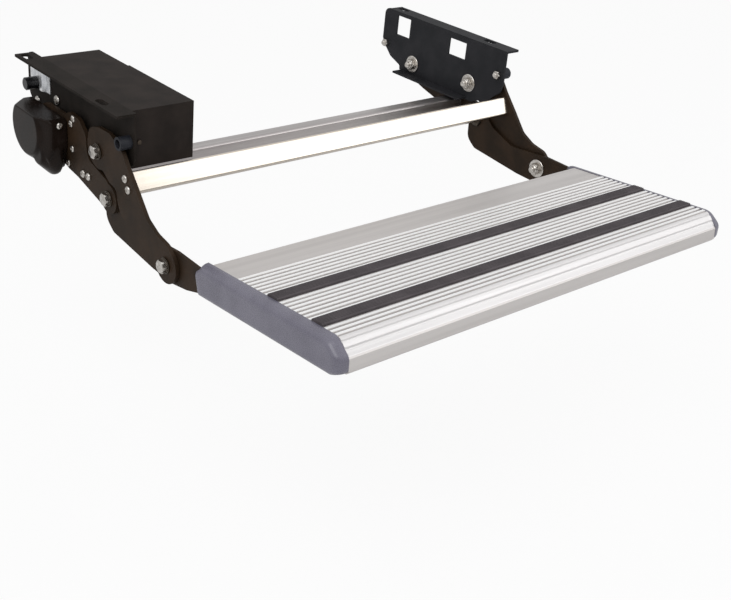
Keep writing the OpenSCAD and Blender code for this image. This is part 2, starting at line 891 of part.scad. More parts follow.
module armature() {
    slot = [5, 1.6, armature_len + 2];
    color("#9a5b34") side(-1) on_motor(motor_front + 20) difference() {
        union() {
            cylinder(r = armature_r, h = armature_len);
            translate([0, 0, -10]) cylinder(r = armature_r * 0.5, h = 11);
        }
        for (a = [0:30:330]) rotate(a) translate([armature_r - 3, -slot[1] / 2, -1]) cube(slot);
        translate([0, 0, -11]) cylinder(r = axle_r + fit, h = armature_len + 13);
    }
}
module motor_can() {
    color("#26262a") side(-1) on_motor(motor_front) difference() {
        cylinder(r = motor_r, h = motor_len);
        translate([0, 0, motor_wall])
            cylinder(r = motor_r - motor_wall, h = motor_len - 2 * motor_wall - 4);
        translate([0, 0, -1]) cylinder(r = axle_r + 1, h = motor_len + 2);
    }
}
module motor_magnets() {
    color("#55585c") side(-1) on_motor(motor_front + 17) difference() {
        cylinder(r = motor_r - motor_wall, h = magnet_len);
        translate([0, 0, -1]) cylinder(r = motor_r - motor_wall - magnet_t, h = magnet_len + 2);
        translate([-motor_r, -3, -1]) cube([motor_d, 6, magnet_len + 2]);
    }
}
// Folded zinc strap over the left plate's window
module motor_strap() {
    path = [
        [strap_out, 64],
        [strap_out, 73],
        [strap_out + strap_fold, 77],
        [strap_out + strap_fold, 83],
        [strap_out, 87.5],
        [strap_out, 112]
    ];
    n = len(path) - 1;
    edge = concat(path, [for (i = [n:-1:0]) path[i] - [strap_t, 0]]);
    color("#d8d8da") side(-1) translate([0, 0, strap_z[0]])
        linear_extrude(strap_z[1] - strap_z[0]) polygon(edge);
}
module strap_bolts() {
    color("silver") side(-1) {
        rod(plate_x - 6, strap_bolt, plate_screw_r, plate_t + 6);
        rod(plate_out, strap_bolt, plate_screw_r * 2, 3);
    }
}
module cable_plug() {
    back = strap_out + fit;
    color("#1c1c1e") side(-1) {
        rod(back, plug_at, plug_r, plug_end - back - 1);
        rod(back, plug_at, plug_r - 1.2, plug_end - back);
    }
}
module plug_terminals() {
    color("#2a2a2c") side(-1) translate([plate_x - 14, 88, -46]) cube([14, 14, 14]);
}
module cap_profile() {
    polygon(rounded([
        [rear_pivot[0] - 3, drive_z, 0],
        [7, drive_z, 5],
        [8, -80, 20],
        [15.5, -104.5, 8],
        [25.5, -111, 8],
        [rear_pivot[0] - 3, rear_pivot[1] - drum_r + 0.2, 0]
    ]));
}
// Fairing's sloping front, seen from above
module cap_plan() {
    x = arm_out;
    polygon([
        [x - 1, rear_pivot[0]],
        [x + drum_h, rear_pivot[0]],
        [x + drum_h, 30],
        [x + drum_h - 11, 4],
        [x - 1, 4]
    ]);
}
// Front of the cap's fairing, drawn in towards its lower edge
module cap_front() {
    x = arm_out;
    polygon([
        [x - 1, drive_z + 1],
        [x + drum_h, drive_z + 1],
        [x + drum_h, -76],
        [x + 12, -117],
        [x - 1, -117]
    ]);
}
// Placed on the axis of the screw in the cap's front, in from the head's seat
module on_cap(in) {
    translate([arm_out + 10, cap_side_y + in, drive_z - 6]) rotate([-90, 0, 0]) children();
}
module gear_cap() {
    color("#35302d") side(-1) difference() {
        union() {
            rod(arm_out, rear_pivot, drum_r, cap_cone);
            translate([arm_out + cap_cone, rear_pivot[0], rear_pivot[1]]) rotate([0, 90, 0])
                cylinder(r1 = drum_r, r2 = drum_face_r, h = drum_h - cap_cone);
            rod(arm_out + belly_out, belly_at, belly_r, cap_cone + 1 - belly_out);
            translate([arm_out + cap_cone + 1, belly_at[0], belly_at[1]]) rotate([0, 90, 0])
                cylinder(r1 = belly_r, r2 = belly_r * 0.45, h = drum_h * 0.5);
            intersection() {
                slab(arm_out, drum_h) cap_profile();
                translate([0, 0, -150]) linear_extrude(150) cap_plan();
                translate([0, 100, 0]) rotate([90, 0, 0]) linear_extrude(150) cap_front();
            }
        }
        translate([arm_out - 1, -60, drive_z]) cube([drum_h + 2, 200, 60]);
        on_cap(-1) cylinder(r = cap_screw_r + fit, h = cap_side_screw + 1);
        intersection() {
            rod(arm_out - 1, rear_pivot, drum_face_r - cap_shell, drum_h + 1 - cap_shell);
            translate([arm_out - 1, -60, drive_z - cap_shell - 150]) cube([drum_h + 2, 200, 150]);
        }
    }
}
module gear_cap_screws() {
    color("silver") side(-1) {
        for (at = cap_screws) {
            rod(arm_x, at, cap_screw_r, arm_t + 1);
            rod(arm_out, at, cap_screw_r * 1.6, 2.2);
        }
        on_cap(-2.2) cylinder(r = cap_screw_r * 1.6, h = 2.2);
        on_cap(-1) cylinder(r = cap_screw_r, h = cap_side_screw + 1);
    }
}
module cover_screws() {
    color("silver") side(-1) {
        on_cover(1.6) cylinder(r = cover_screw_r * 1.6, h = 1.6);
        on_cover(1) cylinder(r = cover_screw_r, h = cover_screw_len);
    }
}

bracket_left();
bracket_right();
stop_bumpers();
bumper_screws();
plate_bolts();
front_pivot_bolts();
front_pivot_nuts();
rear_pivot_bolt();
rear_pivot_nut();
arm_left();
arm_right();
front_crossbar();
front_bar_screws();
link_left();
link_right();
rear_crossbar();
rear_bar_screws();
link_end_bolts();
coupler_left();
coupler_right();
tread_pivot_bolts();
tread_pivot_nuts();
link_end_nuts();
coupler_screws();
tread_board();
grip_strip_rear();
grip_strip_front();
end_cap_left();
end_cap_right();
motor_cover();
cover_screws();
gear_housing();
gear_lid();
shaft_bearings();
output_shaft();
shaft_nut();
worm_wheel();
worm_shaft();
armature();
motor_can();
motor_magnets();
motor_strap();
strap_bolts();
cable_plug();
plug_terminals();
gear_cap();
gear_cap_screws();
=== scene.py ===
"""Looks of an electric pull-out step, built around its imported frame.

The frame's solids are the side plates, arms, links, crossbars, tread and drive. This script gives
each of them its finish, and adds what the solids leave out: turned and chamfered fasteners, the
drawn edges of the gear cap, and the eased edges of plates and covers.
"""

import json
import logging
import math
from collections.abc import Callable, Sequence
from dataclasses import dataclass
from enum import Enum

import bmesh
import bpy
from mathutils import Matrix, Vector


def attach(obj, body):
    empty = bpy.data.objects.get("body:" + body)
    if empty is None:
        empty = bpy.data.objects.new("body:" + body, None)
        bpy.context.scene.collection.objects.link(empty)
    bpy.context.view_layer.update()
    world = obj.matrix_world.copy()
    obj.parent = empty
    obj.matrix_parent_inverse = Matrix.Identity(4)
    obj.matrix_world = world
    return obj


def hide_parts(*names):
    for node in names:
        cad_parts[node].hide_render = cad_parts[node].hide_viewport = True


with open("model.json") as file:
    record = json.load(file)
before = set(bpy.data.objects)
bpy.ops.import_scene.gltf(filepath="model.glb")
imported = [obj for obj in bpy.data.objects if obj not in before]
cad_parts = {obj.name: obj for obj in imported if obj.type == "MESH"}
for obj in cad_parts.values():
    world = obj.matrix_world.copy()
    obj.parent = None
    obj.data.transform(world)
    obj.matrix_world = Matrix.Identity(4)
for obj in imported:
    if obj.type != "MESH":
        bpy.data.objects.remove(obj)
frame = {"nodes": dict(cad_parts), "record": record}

LOG = logging.getLogger("pull_out_step")
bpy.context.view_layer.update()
BODY_OF = {
    node: body
    for body, members in frame["record"]["behaviour"]["bodies"].items()
    for node in members
}
MM = 0.001
IMAGE_W, IMAGE_H = 731, 600
# In metres: vertices closer than this become one, and no turned radius is smaller than this.
WELD = 1e-6
LEAST_R = 1e-5
# Steps per metre to which vertices are rounded when loose solids are told apart.
GRID = 1e5
# Degrees between faces from which the edge between them stays crisp.
CRISP = 32
# Steps around a screw head, a shank, a washer and a chamfered hexagon.
HEAD_STEPS, SHANK_STEPS, WASHER_STEPS, HEXAGON_STEPS = 36, 40, 56, 72
# Angle of a hexagon's chamfer.
CHAMFER = math.radians(30)

Source = bpy.types.NodeSocket
Radius = Callable[[int, float], float]


class Side(Enum):
    """The side of the step that a piece is on."""

    LEFT = -1
    RIGHT = 1


def linear(hex_colour: str) -> tuple[float, float, float, float]:
    """Turns an sRGB colour into the linear values that shaders take.

    Args:
        hex_colour: The colour as "#rrggbb".

    Returns:
        Linear red, green, blue and an alpha of 1.
    """
    parts = [int(hex_colour[i : i + 2], 16) / 255 for i in (1, 3, 5)]
    r, g, b = (c / 12.92 if c <= 0.04045 else ((c + 0.055) / 1.055) ** 2.4 for c in parts)
    return r, g, b, 1.0


def add(
    tree: bpy.types.NodeTree,
    kind: str,
    settings: dict | None = None,
    links: dict | None = None,
) -> bpy.types.Node:
    """Adds a shader node with its settings and its incoming links.

    Args:
        tree: The node tree that takes the node.
        kind: The node's type, such as "ShaderNodeMix".
        settings: Socket names or numbers, or the node's own properties, with their values.
        links: Socket names or numbers with the outputs that feed them.

    Returns:
        The new node.
    """
    node = tree.nodes.new(kind)
    for key, value in (settings or {}).items():
        if isinstance(key, str) and hasattr(node, key):
            setattr(node, key, value)
        else:
            node.inputs[key].default_value = value
    for key, source in (links or {}).items():
        tree.links.new(source, node.inputs[key])
    return node


def mixed(tree: bpy.types.NodeTree, amount: Source, low: str, high: str) -> Source:
    """Blends two sRGB colours by a socket's value and returns the colour socket."""
    ends = {"data_type": "RGBA", 6: linear(low), 7: linear(high)}
    return add(tree, "ShaderNodeMix", ends, {0: amount}).outputs[2]


def tinted(tree: bpy.types.NodeTree, amount: Source, colour: Source, over: str) -> Source:
    """Lays an sRGB colour over a colour socket by a socket's value and returns the result."""
    laid = {"data_type": "RGBA", 7: linear(over)}
    return add(tree, "ShaderNodeMix", laid, {0: amount, 6: colour}).outputs[2]


def ramp(tree: bpy.types.NodeTree, value: Source, start: float, end: float) -> Source:
    """Returns a socket that runs from 0 to 1 while a value runs from start to end."""
    span = {"From Min": start, "From Max": end}
    return add(tree, "ShaderNodeMapRange", span, {"Value": value}).outputs[0]


def operate(tree: bpy.types.NodeTree, operation: str, first: Source, second: Source) -> Source:
    """Returns the result of one sum of two sockets, such as "MAXIMUM"."""
    return add(tree, "ShaderNodeMath", {"operation": operation}, {0: first, 1: second}).outputs[0]


@dataclass(frozen=True)
class Grain:
    """A noise pattern of one real size, in millimetres, that may be drawn out along one axis.

    Attributes:
        size_mm: Width of one blotch or grain.
        stretch: How much longer than wide it is along each axis.
        detail: Octaves of finer noise in it.
    """

    size_mm: float
    stretch: tuple[float, float, float] = (1, 1, 1)
    detail: float = 2

    def socket(self, tree: bpy.types.NodeTree, low: float = 0.35, high: float = 0.65) -> Source:
        """Adds the noise and returns its value, spread to 0 and 1.

        Args:
            tree: The material's tree.
            low: Noise value that becomes 0.
            high: Noise value that becomes 1.

        Returns:
            The output socket.
        """
        place = add(tree, "ShaderNodeTexCoord").outputs["Object"]
        squeeze = tuple(1 / s for s in self.stretch)
        scaled = add(tree, "ShaderNodeMapping", {"Scale": squeeze}, {"Vector": place})
        size = {"Scale": 1 / (self.size_mm * MM), "Detail": self.detail}
        noise = add(tree, "ShaderNodeTexNoise", size, {"Vector": scaled.outputs[0]})
        return ramp(tree, noise.outputs[0], low, high)


@dataclass(frozen=True)
class Finish:
    """A surface finish, from the real material and the way its surface was made.

    Attributes:
        name: The material's name.
        slot: The record's material slot that it belongs to; not used.
        dark: Darker sRGB colour of its variation.
        light: Lighter sRGB colour of its variation.
        rough: Roughness at the smoothest and the roughest places.
        metal: Metallic share.
        ior: Index of refraction.
        specular: Specular level, where 0.5 is plain.
        blotch: Pattern of the colour's variation.
        texture: Pattern of the fine relief.
        relief_mm: Height of the fine relief.
        relief: Strength of the fine relief.
        grain_share: Share of the relief's pattern in the colour's variation.
    """

    name: str
    slot: str
    dark: str
    light: str
    rough: tuple[float, float]
    metal: float = 0.0
    ior: float = 1.5
    specular: float = 0.5
    blotch: Grain = Grain(25)
    texture: Grain = Grain(0.8)
    relief_mm: float = 0.05
    relief: float = 0.3
    grain_share: float = 0.3

    def material(self) -> bpy.types.Material:
        """Makes the material the first time it is asked for.

        Returns:
            The material.
        """
        found = bpy.data.materials.get(self.name)
        if found:
            return found
        made = bpy.data.materials.new(self.name)
        made.use_nodes = True
        tree = made.node_tree
        tree.nodes.clear()
        blotch = self.blotch.socket(tree)
        texture = self.texture.socket(tree)
        between = {"To Min": self.rough[0], "To Max": self.rough[1]}
        rough = add(tree, "ShaderNodeMapRange", between, {"Value": texture})
        height = {"Strength": self.relief, "Distance": self.relief_mm * MM}
        bump = add(tree, "ShaderNodeBump", height, {"Height": texture})
        colour = mixed(tree, self.tint(tree, blotch, texture), self.dark, self.light)
        shader = add(
            tree,
            "ShaderNodeBsdfPrincipled",
            {"Metallic": self.metal, "IOR": self.ior, "Specular IOR Level": self.specular},
            {
                "Base Color": self.shade(tree, colour),
                "Roughness": rough.outputs[0],
                "Normal": bump.outputs[0],
            },
        )
        add(tree, "ShaderNodeOutputMaterial", None, {"Surface": shader.outputs[0]})
        return made

    def tint(self, tree: bpy.types.NodeTree, blotch: Source, texture: Source) -> Source:
        """Returns the socket that runs the colour from dark to light: blotches with grain in."""
        blend = add(tree, "ShaderNodeMix", {0: self.grain_share}, {2: blotch, 3: texture})
        return blend.outputs[0]

    def shade(self, tree: bpy.types.NodeTree, colour: Source) -> Source:
        """Returns the colour as it is; a finish that paints highlights or shade into its colour
        does it here.
        """
        return colour


@dataclass(frozen=True)
class Extruded(Finish):
    """Aluminium pressed through a die: fine lines run along X, the way it left the press.

    The real lines are about 0.2 mm apart. They are drawn 0.7 mm apart, so that they show.
    """

    blotch: Grain = Grain(9, (60, 1, 1))
    texture: Grain = Grain(0.7, (220, 1, 1), 3)
    relief_mm: float = 0.03
    relief: float = 0.25


@dataclass(frozen=True)
class RibbedBoard(Extruded):
    """Satin anodised tread, painted highlights on crests and nose, painted shade in the valleys.

    Attributes:
        crest: Colour of the painted highlight on the ribs' crests.
        valley: Colour of the painted shade between the ribs.
        nose: Colour of the painted highlight on the nose in front of the ribs.
        nose_depth_mm: How far the nose comes down below the deck.
        nose_fade_mm: Height over which its colour fades into the front face.
        ribs_end_mm: Distance along Y from the rear edge to where the ribs' zone starts to end.
        nose_from_mm: Distance along Y from the rear edge to where the nose's zone is full.
        origin: Point on the deck's plane, in metres.
        tilt: Upward tilt of the deck, in degrees.
        rib_mm: Height of a rib above and below the deck.
        crest_zone: Shares of that height between which the crests' painted highlight comes in.
        valley_zone: Shares of that depth between which the valleys' painted shade goes out.
    """

    crest: str = "#ffffff"
    valley: str = "#b6b2b1"
    nose: str = "#dedcdc"
    nose_depth_mm: float = 14.6
    nose_fade_mm: float = 0.4
    ribs_end_mm: float = 195.5
    nose_from_mm: float = 196.8
    origin: tuple[float, float, float] = (0, -262 * MM, -111 * MM)
    tilt: float = 5
    rib_mm: float = 0.8
    crest_zone: tuple[float, float] = (0.2, 0.9)
    valley_zone: tuple[float, float] = (0.9, 0.15)

    def shade(self, tree: bpy.types.NodeTree, colour: Source) -> Source:
        """Paints highlights on the crests and the nose and shade in the valleys, by their height.

        Args:
            tree: The material's tree.
            colour: The plain colour.

        Returns:
            The colour with them.
        """
        tilt = math.radians(self.tilt)
        up = Vector((0, math.sin(tilt), math.cos(tilt)))
        place = add(tree, "ShaderNodeTexCoord").outputs["Object"]
        along = add(tree, "ShaderNodeVectorMath", {"operation": "DOT_PRODUCT", 1: up}, {0: place})
        height = along.outputs["Value"]
        deck = up.dot(Vector(self.origin))
        rib = self.rib_mm * MM
        top = ramp(tree, height, deck + rib * self.crest_zone[0], deck + rib * self.crest_zone[1])
        low = ramp(tree, height, deck - rib * self.valley_zone[0], deck - rib * self.valley_zone[1])
        forward = add(tree, "ShaderNodeSeparateXYZ", None, {0: place}).outputs[1]
        rear = self.origin[1]
        ahead = ramp(tree, forward, rear - self.ribs_end_mm * MM, rear - self.nose_from_mm * MM)
        raised = operate(tree, "MAXIMUM", low, ahead)
        # Painted shade: the valleys below the deck take a grey in place of the colour.
        valleys = {"data_type": "RGBA", 6: linear(self.valley)}
        grey = add(tree, "ShaderNodeMix", valleys, {0: raised, 7: colour}).outputs[2]
        bottom = deck - self.nose_depth_mm * MM
        slope = ramp(tree, height, bottom - self.nose_fade_mm * MM, bottom)
        # Painted highlight on the nose's upper slope, ahead of the ribs.
        nose_lit = tinted(tree, operate(tree, "MULTIPLY", slope, ahead), grey, self.nose)
        # Painted highlight on the ribs' crests.
        return tinted(tree, top, nose_lit, self.crest)


@dataclass(frozen=True)
class PolishedBar(Extruded):
    """Polished extruded tube, with a painted brown reflection and shade on its underside.

    Attributes:
        under: Colour of the painted reflection and shade on the underside.
        facing: Z of the normals where the painted shade starts, and where it is full.
    """

    under: str = "#8a6f58"
    facing: tuple[float, float] = (-0.6, -0.8)

    def shade(self, tree: bpy.types.NodeTree, colour: Source) -> Source:
        """Paints the brown reflection and shade onto the underside, by the way a face looks.

        Args:
            tree: The material's tree.
            colour: The plain colour.

        Returns:
            The colour with the painted underside.
        """
        place = add(tree, "ShaderNodeTexCoord")
        normal = add(tree, "ShaderNodeSeparateXYZ", None, {0: place.outputs["Normal"]})
        # Painted reflection and shade: faces turned down take the brown.
        return tinted(tree, ramp(tree, normal.outputs[2], *self.facing), colour, self.under)


# Steel with powder coat: baked thermoset paint, black with a slight orange peel and a soft sheen.
BRACKET_PAINT = Finish(
    "powder_coat_blue_black", "bracket_paint", "#222326", "#2d2d30", (0.52, 0.66), specular=0.14
)
# A darker, warmer copy of the same paint with less sheen, as painted shade on the left plate.
LEFT_SHADED_PAINT = Finish(
    "powder_coat_black_left_shaded", "bracket_paint", "#1f1c19", "#2b2623", (0.56, 0.70), specular=0.06
)
ARM_PAINT = Finish(
    "powder_coat_brown_black", "arm_paint", "#231a11", "#35271b", (0.48, 0.62), specular=0.14
)
COVER_PAINT = Finish(
    "powder_coat_satin_black", "cover_paint", "#231f1d", "#302a27", (0.56, 0.70), specular=0.08
)
# Deep-drawn steel with a glossier coat of the same paint.
CAP_PAINT = Finish(
    "pressed_cap_paint", "arm_paint", "#15100d", "#211915", (0.20, 0.30), specular=0.10
)
# Steel tube with dipped enamel: thin, dark and half gloss.
MOTOR_PAINT = Finish("motor_can_enamel", "motor_paint", "#101012", "#18181b", (0.35, 0.5))
# Moulded elastomer: matt and dark, with a dusty bloom.
BUMPER_RUBBER = Finish(
    "moulded_rubber_black", "black_rubber", "#14151b", "#20232b", (0.50, 0.70), specular=0.35
)
# Extruded rubber strip: matt, with faint lines along it.
GRIP_RUBBER = Finish(
    "grip_strip_rubber", "grip_rubber", "#464144", "#565053", (0.62, 0.82), specular=0.35,
    texture=Grain(0.6, (12, 1, 1)),
)
# Steel with bright zinc plating: silvery with a faint warmth. Its crystals are too fine to show, so
# they are drawn 0.9 mm wide.
ZINC = Finish(
    "bright_zinc_plating", "zinc", "#a8a39c", "#dedad5", (0.20, 0.36), 1.0,
    blotch=Grain(4), texture=Grain(0.9), relief_mm=0.02,
)
# Dark bronze-black steel: the washers under the bright heads are darker than the heads.
DARK_ZINC = Finish(
    "dark_washer_steel", "zinc", "#3a342e", "#5a5148", (0.30, 0.45), 0.9, blotch=Grain(3)
)
# Steel sheet, hot-dip galvanised: pale, with a fine spangle.
ZINC_SHEET = Finish(
    "galvanised_sheet", "zinc", "#c4c7cc", "#f6f7f8", (0.22, 0.36), 0.85,
    blotch=Grain(7), texture=Grain(1.2), relief_mm=0.02,
)
# Hardened steel, ground on centres: fine even gloss.
GROUND_STEEL = Finish("ground_shaft_steel", "shaft_steel", "#8d8c8b", "#b4b2b0", (0.22, 0.34), 1.0)
# Aluminium, polished after extrusion: a near mirror with faint draw lines.
# Its underside carries a painted brown reflection and shade.
POLISHED_BAR = PolishedBar(
    "polished_aluminium_bar", "bright_aluminium", "#c9c0b5", "#dcd4c9", (0.14, 0.24), 1.0
)
# Aluminium as extruded: duller, with clear draw lines.
MILL_BAR = Extruded(
    "mill_finish_aluminium", "mill_aluminium", "#aaa4a4", "#cfcbc9", (0.30, 0.44), 1.0
)
# Aluminium, satin anodised in natural silver: soft even gloss, draw lines just visible.
# Its ribs carry painted highlights on their crests and nose, and painted shade in their valleys.
ANODISED = RibbedBoard(
    "anodised_tread_aluminium", "anodised_aluminium", "#c5c1bf", "#d3cfcd", (0.38, 0.50), 0.55,
    relief=0.12,
)
# Aluminium, pressure die cast and left as cast.
CAST = Finish("cast_aluminium", "cast_aluminium", "#84868a", "#9c9ea1", (0.45, 0.62), 1.0)
# Moulded polypropylene, slate grey: fine spark-eroded grain and a soft gloss.
END_CAP_PLASTIC = Finish(
    "moulded_slate_plastic", "grey_plastic", "#686673", "#777582", (0.22, 0.32), relief_mm=0.03
)
# Moulded nylon: black, smooth from a polished tool.
PLUG_PLASTIC = Finish("moulded_nylon_black", "black_plastic", "#0e0e10", "#18181a", (0.20, 0.32))
# Sintered bronze: oiled and slightly porous.
BRONZE = Finish("sintered_bronze", "bronze", "#8f6a3a", "#b58a50", (0.32, 0.45), 1.0)
# Copper wire under clear brown enamel.
COPPER = Finish("enamelled_copper_wire", "copper_winding", "#6e3618", "#a35a2c", (0.28, 0.42), 0.6)
# Sintered ferrite: dull charcoal ceramic.
FERRITE = Finish("sintered_ferrite", "ferrite", "#393b3e", "#4b4e52", (0.6, 0.75))


def mesh_object(name: str, bm: bmesh.types.BMesh) -> bpy.types.Object:
    """Turns a bmesh into an object in the scene, with smooth faces and outward normals.

    Args:
        name: The object's name.
        bm: The bmesh, which is freed.

    Returns:
        The new object.
    """
    bmesh.ops.remove_doubles(bm, verts=bm.verts, dist=WELD)
    bmesh.ops.recalc_face_normals(bm, faces=bm.faces)
    mesh = bpy.data.meshes.new(name)
    bm.to_mesh(mesh)
    bm.free()
    made = bpy.data.objects.new(name, mesh)
    bpy.context.scene.collection.objects.link(made)
    soften(made)
    return made


def soften(piece: bpy.types.Object, angle: float = CRISP) -> None:
    """Shades a piece smooth, with crisp lines where its faces meet sharply.

    Args:
        piece: The object.
        angle: Degrees between faces from which the line is crisp.
    """
    for face in piece.data.polygons:
        face.use_smooth = True
    piece.data.set_sharp_from_angle(angle=math.radians(angle))


def ease(piece: bpy.types.Object, width_mm: float, segments: int = 2, angle: float = 35) -> None:
    """Rounds a piece's edges with a bevel modifier.

    Args:
        piece: The object.
        width_mm: Width of the rounding.
        segments: Faces across it.
        angle: Only edges sharper than this, in degrees, are rounded.
    """
    bevel = piece.modifiers.new("eased_edges", "BEVEL")
    bevel.width = width_mm * MM
    bevel.segments = segments
    bevel.limit_method = "ANGLE"
    bevel.angle_limit = math.radians(angle)
    bevel.use_clamp_overlap = True
    bevel.harden_normals = False
    bevel.miter_outer = "MITER_ARC"


def dress(piece: bpy.types.Object, finish: Finish) -> None:
    """Gives a piece one finish all over."""
    piece.data.materials.clear()
    piece.data.materials.append(finish.material())


def turned(
    bm: bmesh.types.BMesh,
    profile: Sequence[tuple[float, float]],
    place: Matrix,
    sides: int = SHANK_STEPS,
) -> None:
    """Adds a turned solid to a bmesh.

    Args:
        bm: The bmesh that takes it.
        profile: Points of (height, radius) in metres, from one end of the axis to the other.
        place: Puts the solid's own +Z axis into the row frame.
        sides: Steps around the axis.
    """
    heights = [height for height, _ in profile]
    shaped(bm, heights, lambda level, _: profile[level][1], place, sides)


def shaped(
    bm: bmesh.types.BMesh, heights: Sequence[float], radius: Radius, place: Matrix, sides: int
) -> None:
    """Adds a closed solid whose radius depends on its level and on the angle about its axis.

    Args:
        bm: The bmesh that takes it.
        heights: Height of each level in metres.
        radius: Radius in metres for a level's number and an angle in radians.
        place: Puts the solid's own +Z axis into the row frame.
        sides: Steps around the axis.
    """
    rings = []
    for level, height in enumerate(heights):
        ring = []
        for k in range(sides):
            a = 2 * math.pi * k / sides
            r = max(radius(level, a), LEAST_R)
            ring.append(bm.verts.new(place @ Vector((r * math.cos(a), r * math.sin(a), height))))
        rings.append(ring)
    for low, high in zip(rings, rings[1:]):
        for k in range(sides):
            n = (k + 1) % sides
            bm.faces.new((low[k], low[n], high[n], high[k]))
    bm.faces.new(list(reversed(rings[0])))
    bm.faces.new(rings[-1])


def axis_place(at: Vector, side: Side) -> Matrix:
    """Returns the matrix that puts +Z outwards along X at a point, on one side of the step."""
    turn = Matrix.Rotation(math.pi / 2 * side.value, 4, "Y")
    return Matrix.Translation(at) @ turn


@dataclass
class Solid:
    """One loose solid of a node, found in its mesh.

    Attributes:
        low: Lowest corner of its box.
        high: Highest corner of its box.
    """

    low: Vector
    high: Vector

    @property
    def side(self) -> Side:
        """The side of the step that it lies on."""
        return Side.RIGHT if self.low.x + self.high.x > 0 else Side.LEFT

    @property
    def inner(self) -> float:
        """Distance from the middle of the step to its inner end."""
        return min(abs(self.low.x), abs(self.high.x))

    @property
    def outer(self) -> float:
        """Distance from the middle of the step to its outer end."""
        return max(abs(self.low.x), abs(self.high.x))

    def at(self, reach: float) -> Vector:
        """Returns the point on its axis at a distance from the middle of the step."""
        mid = (self.low + self.high) / 2
        return Vector((reach * self.side.value, mid.y, mid.z))


def solids(node: str) -> list[Solid]:
    """Finds a node's loose solids.

    Args:
        node: The node's name.

    Returns:
        One Solid for each, in order of their lowest corner.
    """
    mesh = frame["nodes"][node].data
    keys: dict[tuple[int, int, int], int] = {}
    index = []
    for v in mesh.vertices:
        key = tuple(round(c * GRID) for c in v.co)
        index.append(keys.setdefault(key, len(keys)))
    parent = list(range(len(keys)))

    def root(i: int) -> int:
        """Finds the vertex that stands for a vertex's group.

        Args:
            i: The vertex's number.

        Returns:
            The number of the vertex that stands for the group.
        """
        while parent[i] != i:
            parent[i] = parent[parent[i]]
            i = parent[i]
        return i

    for face in mesh.polygons:
        first = root(index[face.vertices[0]])
        for v in face.vertices[1:]:
            parent[root(index[v])] = first
    groups: dict[int, list[Vector]] = {}
    for v in mesh.vertices:
        groups.setdefault(root(index[v.index]), []).append(v.co)
    found = []
    for points in groups.values():
        low = Vector(min(p[i] for p in points) for i in range(3))
        high = Vector(max(p[i] for p in points) for i in range(3))
        found.append(Solid(low, high))
    return sorted(found, key=lambda s: tuple(round(c, 5) for c in s.low))


@dataclass(frozen=True)
class Screw:
    """Sizes of one kind of small screw, in metres.

    Attributes:
        head_r: Radius of its head.
        head_h: Height of its head.
        shank_r: Radius of its shank.
        nut_h: Height of its nut, or 0.
        least: Length above which it takes a nut.
        nut_share: Half of the nut's width across its corners, as a share of the shank's radius.
    """

    head_r: float
    head_h: float
    shank_r: float
    nut_h: float = 0.0
    least: float = 0.0
    nut_share: float = 1.9


PLATE_SCREW = Screw(5.7 * MM, 2.6 * MM, 3 * MM, 5 * MM)
STRAP_SCREW = Screw(5.7 * MM, 2.6 * MM, 3 * MM)
BUMPER_SCREW = Screw(4.2 * MM, 3 * MM, 3 * MM, 5 * MM, 15 * MM)
BAR_SCREW = Screw(4.5 * MM, 3 * MM, 2.5 * MM)
CAP_SCREW = Screw(3.84 * MM, 2.2 * MM, 2.4 * MM)


